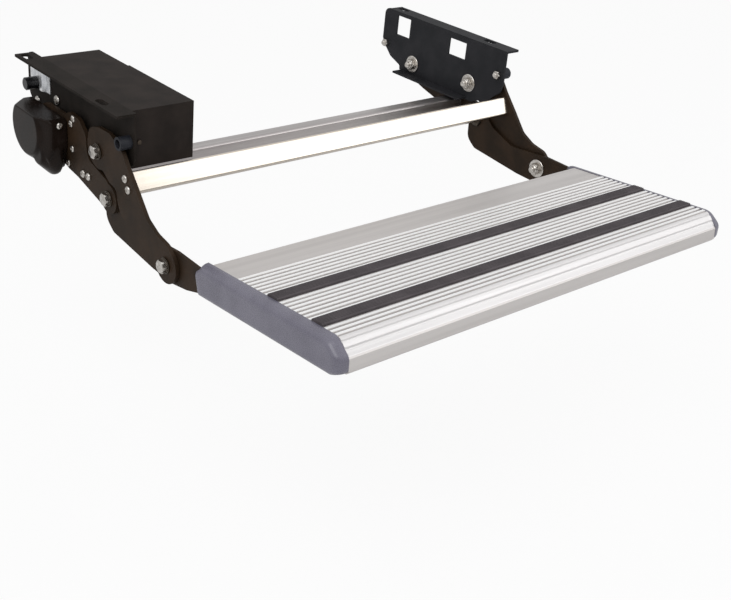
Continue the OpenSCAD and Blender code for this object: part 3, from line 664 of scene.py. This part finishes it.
@dataclass
class Fasteners:
    """Zinc-plated bolts, nuts and screws, turned and chamfered over the frame's plain ones.

    Attributes:
        head_r: Half of a pivot head's width across its corners.
        head_h: Height of a pivot head.
        washer_r: Radius of a washer under a head.
        nut_washer_r: Radius of a washer under a nut.
        washer_t: Thickness of a pivot washer.
        washer_edge: Width of its rounded edges, as a share of its thickness.
        shank_r: Radius of a pivot bolt.
        nut_h: Height of a pivot nut.
        thread_out: Length of thread past a nut.
        pitch: Pitch of the pivot bolts' thread.
        spacer_r: Radius of the spacers between the side plates and the arms.
        spacer_len: Length of a spacer that shows.
        spacer_edge: Width of a spacer's chamfer.
        spacer_step: Distance from a pivot's washer in to the outer end of its spacer.
        overlap: How far a shank reaches into what it holds.
        collar: Height and radius of the collar under a head, as shares of washer and head.
        flat_share: Radius where the chamfer meets a hexagon's end, as a share of its flats'.
        thread_turn: Crest's end, and root's start and end, as shares of a thread's pitch.
        thread_depth: Depth of the thread, as a share of its pitch.
        tip: Length of its plain tip, in pitches.
        tip_depth: How far the tip is turned down at its end, in depths of the thread.
        dome: Angles at which a screw head's dome is stepped.
        dome_foot: Height of the dome's foot, as a share of the head's.
        rim: Radius of the head's underside, as a share of the head's.
        socket: Heights and radii of the head's socket, as shares of the head's.
        nut_flats: Height of a locking nut's flats, as a share of the nut's.
        crown_share: Radius of its crown, as a share of its corners'.
        crown: Heights and radii of the crown, as shares of the nut's height and crown's radius.
        bore: Height and radius of its rim, as shares of the nut's height and shank's radius.
        low_nut_r: Half of a coupler stud's nut across its corners.
        low_nut_h: Height of that nut.
        stud_out: Length of the stud past that nut.
    """

    head_r: float = 7.68 * MM
    head_h: float = 5.6 * MM
    washer_r: float = 8.8 * MM
    nut_washer_r: float = 12 * MM
    washer_t: float = 1.5 * MM
    washer_edge: float = 0.3
    shank_r: float = 4 * MM
    nut_h: float = 7.5 * MM
    thread_out: float = 3 * MM
    pitch: float = 1.25 * MM
    spacer_r: float = 6.4 * MM
    spacer_len: float = 4.2 * MM
    spacer_edge: float = 0.3 * MM
    spacer_step: float = 5.1 * MM
    overlap: float = 0.5 * MM
    collar: tuple[float, float] = (0.4, 0.88)
    flat_share: float = 0.94
    thread_turn: tuple[float, float, float] = (0.3, 0.55, 0.75)
    thread_depth: float = 0.45
    tip: float = 0.6
    tip_depth: float = 1.3
    dome: tuple[float, ...] = (0.0, 0.3, 0.6, 0.9, 1.15)
    dome_foot: float = 0.3
    rim: float = 0.97
    socket: tuple[tuple[float, float], ...] = ((0.94, 0.34), (0.62, 0.30), (0.5, 0.05))
    nut_flats: float = 0.74
    crown_share: float = 0.80
    crown: tuple[tuple[float, float], ...] = ((0.70, 1), (0.90, 1), (0.99, 0.88), (1, 0.70))
    bore: tuple[float, float] = (0.93, 1.12)
    low_nut_r: float = 8 * MM
    low_nut_h: float = 4 * MM
    stud_out: float = 1 * MM

    def hexagon(
        self, bm: bmesh.types.BMesh, place: Matrix, r: float, h: float, both: bool = False
    ) -> None:
        """Adds a hexagon whose corners are turned off by a 30 degree chamfer.

        Args:
            bm: The bmesh that takes it.
            place: Puts its base on its seat, with +Z outwards.
            r: Half of its width across the corners.
            h: Its height.
            both: Whether its base is chamfered too.
        """
        flat = r * math.cos(math.pi / 6)
        end = flat * self.flat_share
        drop = (r - end) * math.tan(CHAMFER)
        levels = [0, drop * 0.5, drop, h - drop, h - drop * 0.5, h]

        def radius(level: int, a: float) -> float:
            """Cuts the hexagon back by the chamfer's cone.

            Args:
                level: Number of the level.
                a: Angle about the axis, in radians.

            Returns:
                The radius.
            """
            side = flat / math.cos((a + math.pi / 6) % (math.pi / 3) - math.pi / 6)
            z = levels[level]
            edge = min(h - z, z if both else h)
            return min(side, end + edge / math.tan(CHAMFER))

        shaped(bm, levels, radius, place, HEXAGON_STEPS)

    def washer(self, bm: bmesh.types.BMesh, place: Matrix, r: float, t: float) -> None:
        """Adds a stamped washer with rounded edges.

        Args:
            bm: The bmesh that takes it.
            place: Puts its base on its seat, with +Z outwards.
            r: Its radius.
            t: Its thickness.
        """
        edge = t * self.washer_edge
        profile = [(0, r - edge / 2), (edge, r), (t - edge, r), (t, r - edge)]
        turned(bm, profile, place, WASHER_STEPS)

    def thread(self, bm: bmesh.types.BMesh, place: Matrix, r: float, length: float) -> None:
        """Adds a threaded end: crests and roots down to a chamfered tip.

        Args:
            bm: The bmesh that takes it.
            place: Puts its root on its seat, with +Z towards the tip.
            r: Radius of the thread.
            length: Its length.
        """
        pitch = self.pitch * r / self.shank_r
        depth = pitch * self.thread_depth
        crest, low, high = (pitch * share for share in self.thread_turn)
        root = r - depth
        profile = [(0.0, r)]
        for turn in range(max(1, int(length / pitch - self.tip))):
            z = turn * pitch
            profile += [(z + crest, r), (z + low, root), (z + high, root)]
        profile += [(length - pitch / 2, r), (length, r - depth * self.tip_depth)]
        turned(bm, sorted(profile), place)

    def button(self, bm: bmesh.types.BMesh, place: Matrix, r: float, h: float) -> None:
        """Adds a domed screw head with a sunken middle.

        Args:
            bm: The bmesh that takes it.
            place: Puts its base on its seat, with +Z outwards.
            r: Radius of the head.
            h: Its height.
        """
        foot = h * self.dome_foot
        dome = [(foot + (h - foot) * math.sin(t), r * math.cos(t)) for t in self.dome]
        socket = [(h * high, r * wide) for high, wide in self.socket]
        turned(bm, [(0, r * self.rim)] + dome + socket, place, HEAD_STEPS)

    def pivot_bolts(self, node: str, nutted: bool, spaced: bool) -> bpy.types.Object:
        """Builds the hexagon bolts of one node.

        Args:
            node: The node that they replace.
            nutted: Whether a nut goes on their inner ends.
            spaced: Whether each has a spacer between the side plate and the arm.

        Returns:
            The bolts as one piece.
        """
        bm = bmesh.new()
        under = bmesh.new()
        collar_h = self.washer_t * self.collar[0]
        collar_r = self.head_r * self.collar[1]
        for s in solids(node):
            seat = s.outer - self.head_h - self.washer_t
            base = axis_place(s.at(seat), s.side)
            self.washer(under, base, self.washer_r, self.washer_t)
            head = axis_place(s.at(seat + self.washer_t), s.side)
            turned(bm, [(0, collar_r), (collar_h, collar_r)], head)
            top = axis_place(s.at(seat + self.washer_t + collar_h), s.side)
            self.hexagon(bm, top, self.head_r, self.head_h - collar_h)
            plain = s.inner + (self.thread_out + self.nut_h if nutted else 0)
            turned(bm, [(plain - seat, self.shank_r), (self.overlap, self.shank_r)], base)
            if nutted:
                back = axis_place(s.at(plain), Side(-s.side.value))
                self.thread(bm, back, self.shank_r, plain - s.inner)
            if spaced:
                self.spacer(bm, s, seat - self.spacer_step, plain + self.washer_t)
        washers = mesh_object(f"{node}_washers", under)
        dress(washers, DARK_ZINC)
        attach(washers, BODY_OF[node])
        LOG.info("fasteners: %s", washers.name)
        return mesh_object(f"{node}_turned", bm)

    def spacer(self, bm: bmesh.types.BMesh, s: Solid, outer: float, inner: float) -> None:
        """Adds the spacer of one bolt.

        Args:
            bm: The bmesh that takes it.
            s: The bolt.
            outer: Distance from the middle of the step to the spacer's outer end.
            inner: Distance within which it has to end.
        """
        r, edge = self.spacer_r, self.spacer_edge
        long = min(outer - inner, self.spacer_len)
        turned(bm, [(-long, r), (-edge, r), (0, r - edge)], axis_place(s.at(outer), s.side))

    def pivot_nuts(self, node: str) -> bpy.types.Object:
        """Builds the locking nuts of one node, each with its washer.

        Args:
            node: The node that they replace.

        Returns:
            The nuts as one piece.
        """
        bm = bmesh.new()
        wide = self.head_r * self.crown_share
        ring = [(self.nut_h * high, wide * share) for high, share in self.crown]
        ring.append((self.nut_h * self.bore[0], self.shank_r * self.bore[1]))
        for s in solids(node):
            inward = Side(-s.side.value)
            seat = s.inner + self.nut_h + self.washer_t
            self.washer(bm, axis_place(s.at(seat), inward), self.nut_washer_r, self.washer_t)
            base = axis_place(s.at(seat - self.washer_t), inward)
            self.hexagon(bm, base, self.head_r, self.nut_h * self.nut_flats, True)
            turned(bm, ring, base)
        return mesh_object(f"{node}_turned", bm)

    def low_nuts(self, node: str) -> bpy.types.Object:
        """Builds thin nuts on studs that run through the couplers.

        Args:
            node: The node that they replace.

        Returns:
            The nuts and studs as one piece.
        """
        bm = bmesh.new()
        for s in solids(node):
            seat = s.inner + self.stud_out + self.low_nut_h
            inward = axis_place(s.at(seat), Side(-s.side.value))
            outward = axis_place(s.at(seat), s.side)
            self.hexagon(bm, inward, self.low_nut_r, self.low_nut_h)
            turned(bm, [(0, self.shank_r), (s.outer - seat, self.shank_r)], outward)
            self.thread(bm, inward, self.shank_r, seat - s.inner)
        return mesh_object(f"{node}_turned", bm)

    def small_screws(self, node: str, kind: Screw) -> bpy.types.Object:
        """Builds the small screws of one node, some with a nut on their inner end.

        Args:
            node: The node that they replace.
            kind: Their sizes.

        Returns:
            The screws as one piece.
        """
        bm = bmesh.new()
        for s in solids(node):
            deeper_than_head = s.high.y - s.low.y > kind.head_r * 2.5
            if deeper_than_head:
                self.front_screw(bm, s, kind)
                continue
            seat = s.outer - kind.head_h
            self.button(bm, axis_place(s.at(seat), s.side), kind.head_r, kind.head_h)
            nutted = kind.nut_h and s.outer - s.inner > kind.least
            plain = seat - s.inner - (self.thread_out + kind.nut_h if nutted else 0)
            inward = Side(-s.side.value)
            shank = [(0, kind.shank_r), (plain, kind.shank_r)]
            turned(bm, shank, axis_place(s.at(seat), inward))
            if nutted:
                end = axis_place(s.at(seat - plain), inward)
                self.thread(bm, end, kind.shank_r, kind.nut_h + self.thread_out)
                self.hexagon(bm, end, kind.shank_r * kind.nut_share, kind.nut_h, True)
        return mesh_object(f"{node}_turned", bm)

    def front_screw(self, bm: bmesh.types.BMesh, s: Solid, kind: Screw) -> None:
        """Adds a screw whose axis runs along Y, with its head to the front.

        Args:
            bm: The bmesh that takes it.
            s: The plain screw that it stands for.
            kind: Its sizes.
        """
        mid = (s.low + s.high) / 2
        seat = s.low.y + kind.head_h
        turn = Matrix.Rotation(math.pi / 2, 4, "X")
        place = Matrix.Translation((mid.x, seat, mid.z)) @ turn
        self.button(bm, place, kind.head_r, kind.head_h)
        turned(bm, [(seat - s.high.y, kind.shank_r), (0, kind.shank_r)], place)

    def finish(self, piece: bpy.types.Object, node: str, plating: Finish = ZINC) -> None:
        """Plates a piece and sets it on its node's body, in place of the node.

        Args:
            piece: The piece.
            node: The node that it replaces.
            plating: Its finish.
        """
        dress(piece, plating)
        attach(piece, BODY_OF[node])
        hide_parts(node)
        LOG.info("fasteners: %s", piece.name)

    def build(self) -> None:
        """Builds every fastener of the step."""
        for node, nutted, spaced in (
            ("front_pivot_bolts", True, True),
            ("rear_pivot_bolt", True, True),
            ("tread_pivot_bolts", True, False),
            ("link_end_bolts", False, False),
        ):
            self.finish(self.pivot_bolts(node, nutted, spaced), node)
        for node in ("front_pivot_nuts", "rear_pivot_nut", "tread_pivot_nuts"):
            self.finish(self.pivot_nuts(node), node)
        self.finish(self.low_nuts("link_end_nuts"), "link_end_nuts", DARK_ZINC)
        for node, kind in (
            ("plate_bolts", PLATE_SCREW),
            ("strap_bolts", STRAP_SCREW),
            ("bumper_screws", BUMPER_SCREW),
            ("front_bar_screws", BAR_SCREW),
            ("rear_bar_screws", BAR_SCREW),
            ("gear_cap_screws", CAP_SCREW),
        ):
            self.finish(self.small_screws(node, kind), node)


@dataclass
class SteelWork:
    """Side plates, arms, links and couplers: cut from steel plate, eased and powder coated.

    Attributes:
        plate_edge: Width of the side plates' eased edges, in millimetres.
        arm_edge: Width of the eased edges of arms, links and couplers, in millimetres.
    """

    plate_edge: float = 0.5
    arm_edge: float = 0.7

    def build(self) -> None:
        """Dresses the steel plates."""
        plates = [
            ("bracket_left", LEFT_SHADED_PAINT, self.plate_edge),
            ("bracket_right", BRACKET_PAINT, self.plate_edge),
        ]
        for kind in ("arm", "link", "coupler"):
            for side in Side:
                plates.append((f"{kind}_{side.name.lower()}", ARM_PAINT, self.arm_edge))
        for node, finish, edge in plates:
            piece = frame["nodes"][node]
            soften(piece)
            ease(piece, edge)
            dress(piece, finish)
            LOG.info("steel: %s", node)


@dataclass
class Bars:
    """The two crossbars, extruded aluminium tubes between the arms and between the links."""

    def build(self) -> None:
        """Dresses the crossbars."""
        for node, finish in (("front_crossbar", POLISHED_BAR), ("rear_crossbar", MILL_BAR)):
            soften(frame["nodes"][node])
            dress(frame["nodes"][node], finish)
            LOG.info("bar: %s", node)


@dataclass
class Tread:
    """The tread: ribbed board, two grip strips and two moulded end caps.

    Attributes:
        cap_crisp: Degrees between faces from which the moulded caps' edges stay crisp.
    """

    cap_crisp: float = 40

    def build(self) -> None:
        """Dresses the board, its strips and its caps."""
        for node, finish, angle in (
            ("tread_board", ANODISED, CRISP),
            ("grip_strip_rear", GRIP_RUBBER, CRISP),
            ("grip_strip_front", GRIP_RUBBER, CRISP),
            ("end_cap_left", END_CAP_PLASTIC, self.cap_crisp),
            ("end_cap_right", END_CAP_PLASTIC, self.cap_crisp),
        ):
            piece = frame["nodes"][node]
            soften(piece, angle)
            dress(piece, finish)
            LOG.info("tread: %s", node)
        dress(frame["nodes"]["coupler_screws"], ZINC)
        LOG.info("tread: coupler_screws")


@dataclass
class DriveUnit:
    """Motor, gears and their covers on the left side plate.

    Attributes:
        cover_edge: Width of the motor cover's folds, in millimetres.
        bumper_edge: Width of the bumpers' rounding, in millimetres.
        edge_steps: Faces across either.
        cap_voxel_mm: Width of the gear cap's even faces.
        cap_smoothing: Passes that draw its edges round.
        cap_factor: Strength of one pass.
    """

    cover_edge: float = 1.0
    bumper_edge: float = 0.7
    edge_steps: int = 3
    cap_voxel_mm: float = 1.0
    cap_smoothing: int = 14
    cap_factor: float = 0.5

    def build(self) -> None:
        """Dresses the drive's nodes."""
        plain = {
            "gear_housing": CAST,
            "gear_lid": CAST,
            "shaft_bearings": BRONZE,
            "worm_wheel": BRONZE,
            "output_shaft": ZINC,
            "shaft_nut": ZINC,
            "worm_shaft": GROUND_STEEL,
            "armature": COPPER,
            "motor_can": MOTOR_PAINT,
            "motor_magnets": FERRITE,
            "motor_strap": ZINC_SHEET,
            "cable_plug": PLUG_PLASTIC,
            "plug_terminals": PLUG_PLASTIC,
            "motor_cover": COVER_PAINT,
            "cover_screws": DARK_ZINC,
            "stop_bumpers": BUMPER_RUBBER,
        }
        edges = {"motor_cover": self.cover_edge, "stop_bumpers": self.bumper_edge}
        for node, finish in plain.items():
            piece = frame["nodes"][node]
            soften(piece)
            if node in edges:
                ease(piece, edges[node], self.edge_steps)
            dress(piece, finish)
            LOG.info("drive: %s", node)
        self.pressed_cap()

    def pressed_cap(self) -> None:
        """Forms the gear cap as pressed sheet: the frame's cap with all its edges drawn round."""
        mesh = frame["nodes"]["gear_cap"].data.copy()
        piece = bpy.data.objects.new("gear_cap_pressed", mesh)
        bpy.context.scene.collection.objects.link(piece)
        remesh = piece.modifiers.new("even_faces", "REMESH")
        remesh.mode = "VOXEL"
        remesh.voxel_size = self.cap_voxel_mm * MM
        remesh.use_smooth_shade = True
        soft = piece.modifiers.new("drawn_edges", "SMOOTH")
        soft.factor = self.cap_factor
        soft.iterations = self.cap_smoothing
        dress(piece, CAP_PAINT)
        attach(piece, BODY_OF["gear_cap"])
        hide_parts("gear_cap")
        LOG.info("drive: gear_cap_pressed")


@dataclass
class Studio:
    """White studio: pale floor, soft lamps, and the camera of the photograph.

    Attributes:
        floor_z: Height of the floor under the hanging step.
        focal_px: Focal length in pixels of the image.
        centre_px: The optical axis in the image.
        place: Where the camera stands.
        right: The image's rightward direction in the row frame.
        down: The image's downward direction.
        sensor_mm: Width of the camera's sensor.
        even: Strength of the even light on matt surfaces.
        sky_heights: Heights on the sky between which its shine in glossy surfaces grows.
        sky_shine: Strength of that shine at those heights.
        key_at: Place of the key lamp.
        key_watts: Power of the key lamp.
        fill_at: Place of the lamp on the right.
        fill_share: Power of that lamp, as a share of the key lamp's.
        lamp_size: Width of a lamp, in metres.
        aim: The point that the lamps look at.
        floor_size: Half of the floor's width, in metres.
        paper: Brightness of the floor's paper.
        glow: Share of plain white in the floor that the camera sees.
    """

    floor_z: float = -0.42
    focal_px: float = 1134.82
    centre_px: tuple[float, float] = (346.84, 294.41)
    place: tuple[float, float, float] = (-0.8441, -1.0905, 0.3998)
    right: tuple[float, float, float] = (0.767897, -0.634633, 0.087038)
    down: tuple[float, float, float] = (-0.240659, -0.411739, -0.87895)
    sensor_mm: float = 36
    even: float = 0.62
    sky_heights: tuple[float, float] = (-0.1, 0.7)
    sky_shine: tuple[float, float] = (0.34, 1.0)
    key_at: tuple[float, float, float] = (-1.3, -0.9, 1.7)
    key_watts: float = 16.0
    fill_at: tuple[float, float, float] = (1.5, -1.6, 1.1)
    fill_share: float = 0.55
    lamp_size: float = 1.4
    aim: tuple[float, float, float] = (0, -0.15, -0.08)
    floor_size: float = 6
    paper: float = 0.9
    glow: float = 0.9

    def camera(self) -> None:
        """Makes the camera and sets it."""
        data = bpy.data.cameras.new("photo_view")
        data.sensor_width = self.sensor_mm
        data.lens = self.focal_px * data.sensor_width / IMAGE_W
        data.shift_x = (IMAGE_W / 2 - self.centre_px[0]) / IMAGE_W
        data.shift_y = -(IMAGE_H / 2 - self.centre_px[1]) / IMAGE_W
        made = bpy.data.objects.new("photo_view", data)
        right = Vector(self.right).normalized()
        up = -Vector(self.down)
        back = right.cross(up).normalized()
        up = back.cross(right)
        turn = Matrix((right, up, back)).transposed().to_4x4()
        made.matrix_world = Matrix.Translation(self.place) @ turn
        bpy.context.scene.collection.objects.link(made)
        bpy.context.scene.camera = made

    def lamp(self, name: str, at: Vector, watts: float) -> None:
        """Hangs a soft square lamp that points at the step.

        Args:
            name: The lamp's name.
            at: Its place.
            watts: Its power.
        """
        data = bpy.data.lights.new(name, "AREA")
        data.size = self.lamp_size
        data.energy = watts
        made = bpy.data.objects.new(name, data)
        turn = (Vector(self.aim) - at).to_track_quat("-Z", "Y").to_matrix().to_4x4()
        made.matrix_world = Matrix.Translation(at) @ turn
        bpy.context.scene.collection.objects.link(made)

    def world(self) -> None:
        """Lights the scene evenly.

        The camera and what is seen through glass get white. Glossy surfaces get a sky that dims
        towards its foot.
        """
        world = bpy.data.worlds.new("white_studio")
        bpy.context.scene.world = world
        world.use_nodes = True
        tree = world.node_tree
        tree.nodes.clear()
        rays = add(tree, "ShaderNodeLightPath").outputs
        seen = operate(tree, "MAXIMUM", rays["Is Camera Ray"], rays["Is Transmission Ray"])
        place = add(tree, "ShaderNodeTexCoord")
        height = add(tree, "ShaderNodeSeparateXYZ", None, {0: place.outputs["Generated"]})
        (start, end), (dim, full) = self.sky_heights, self.sky_shine
        span = {"From Min": start, "From Max": end, "To Min": dim, "To Max": full}
        sky = add(tree, "ShaderNodeMapRange", span, {"Value": height.outputs[2]})
        by_ray = {0: rays["Is Glossy Ray"], 3: sky.outputs[0]}
        shine = add(tree, "ShaderNodeMix", {2: self.even}, by_ray)
        strength = add(tree, "ShaderNodeMix", {3: 1.0}, {0: seen, 2: shine.outputs[0]}).outputs[0]
        white = {"Color": (1, 1, 1, 1)}
        shade = add(tree, "ShaderNodeBackground", white, {"Strength": strength})
        add(tree, "ShaderNodeOutputWorld", None, {"Surface": shade.outputs[0]})

    def floor(self) -> None:
        """Lays a pale floor that looks white to the camera and keeps a faint shadow."""
        bm = bmesh.new()
        bmesh.ops.create_grid(bm, x_segments=1, y_segments=1, size=self.floor_size)
        bmesh.ops.translate(bm, verts=bm.verts, vec=(0, 0, self.floor_z))
        made = mesh_object("studio_floor", bm)
        paper = bpy.data.materials.new("white_paper")
        paper.use_nodes = True
        tree = paper.node_tree
        tree.nodes.clear()
        camera = add(tree, "ShaderNodeLightPath").outputs["Is Camera Ray"]
        matt = add(tree, "ShaderNodeBsdfDiffuse", {"Color": (self.paper,) * 3 + (1,)})
        white = add(tree, "ShaderNodeEmission", {"Color": (1, 1, 1, 1), "Strength": 1.0})
        seen = add(tree, "ShaderNodeMath", {"operation": "MULTIPLY", 1: self.glow}, {0: camera})
        layers = {0: seen.outputs[0], 1: matt.outputs[0], 2: white.outputs[0]}
        both = add(tree, "ShaderNodeMixShader", None, layers)
        add(tree, "ShaderNodeOutputMaterial", None, {"Surface": both.outputs[0]})
        made.data.materials.append(paper)

    def build(self) -> None:
        """Builds the studio."""
        self.camera()
        self.world()
        self.floor()
        self.lamp("key", Vector(self.key_at), self.key_watts)
        self.lamp("fill_right", Vector(self.fill_at), self.key_watts * self.fill_share)
        bpy.context.scene.view_settings.view_transform = "Standard"


def main() -> None:
    """Builds the step's looks and its studio."""
    logging.basicConfig(level=logging.INFO, format="%(name)s: %(message)s")
    for assembly in (SteelWork(), Bars(), Tread(), DriveUnit(), Fasteners(), Studio()):
        assembly.build()


if __name__ == "__main__":
    main()
